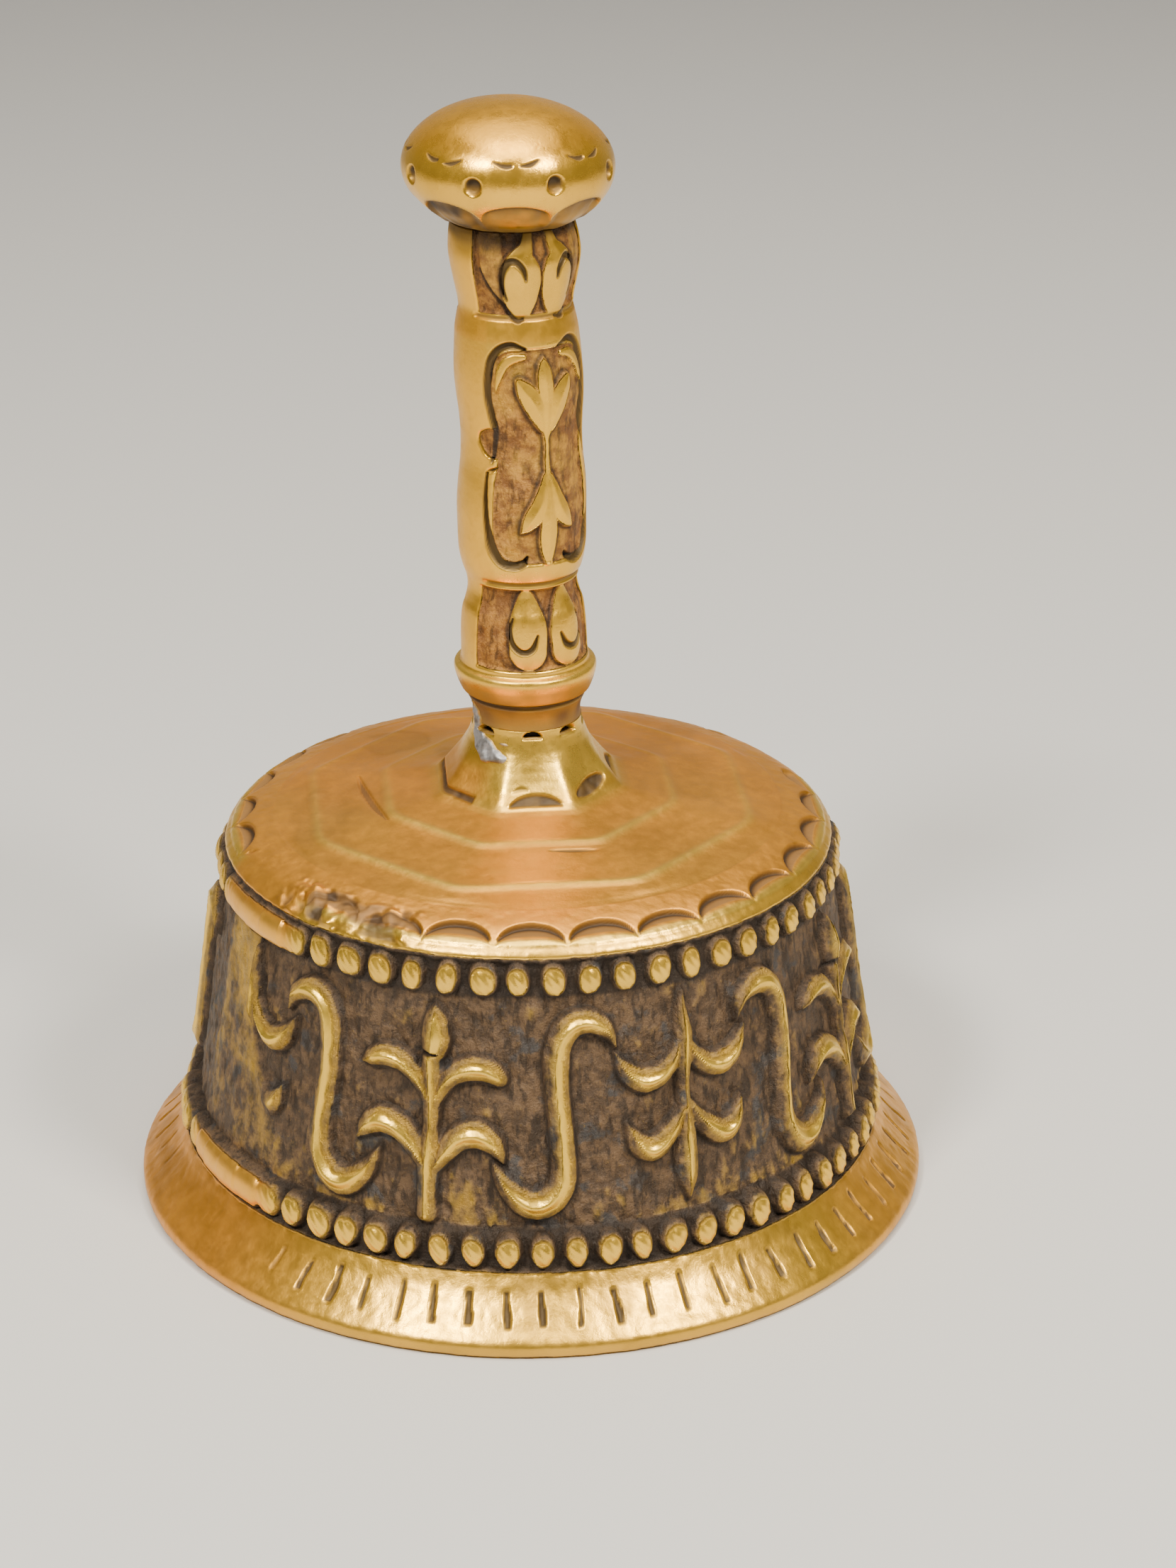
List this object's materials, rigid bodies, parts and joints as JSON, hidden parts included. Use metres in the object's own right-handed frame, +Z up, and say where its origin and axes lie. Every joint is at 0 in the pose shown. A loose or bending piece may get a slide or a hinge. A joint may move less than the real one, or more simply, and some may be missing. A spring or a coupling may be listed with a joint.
{
  "type": "hand bell",
  "caption": "Cast brass hand bell for prayer: scroll-ornamented cup with a terraced crown, turned handle with a flattened knob, and a clapper that swings from a swivel hook.",
  "frame": {"origin": "centre of the rim's underside, on the surface that the bell stands on", "axes": "+Z up along the cup's axis to the handle; the handle leans slightly to -X; -Y is the front"},
  "size_m": [0.095, 0.095, 0.1305],
  "materials": {
    "bell_brass": "aged cast brass, dark brown patina in the recesses and rubbed bright on the raised work",
    "handle_brass": "polished cast brass with brown patina in the cut lines",
    "clapper_brass": "dull turned brass, darkened with age",
    "solder": "grey soft solder, half bright",
    "iron_wire": "dull dark iron wire"
  },
  "bodies": {
    "bell": {"bell_body": "bell_brass", "handle_shaft": "handle_brass", "handle_knob": "handle_brass", "handle_solder": "solder", "hook_washer": "iron_wire"},
    "hook": {"clapper_hook": "iron_wire"},
    "clapper": {"clapper_rod": "iron_wire", "clapper_ball": "clapper_brass"}
  },
  "joints": [
    {"name": "hook_swivel", "type": "hinge", "parent": "bell", "child": "hook", "pos_m": [0, 0, 0.0502], "axis": [0, 0, 1], "continuous": true},
    {"name": "clapper_swing", "type": "hinge", "parent": "hook", "child": "clapper", "pos_m": [0, 0, 0.0413], "axis": [0, 1, 0], "range_deg": [-60, 60]}
  ]
}
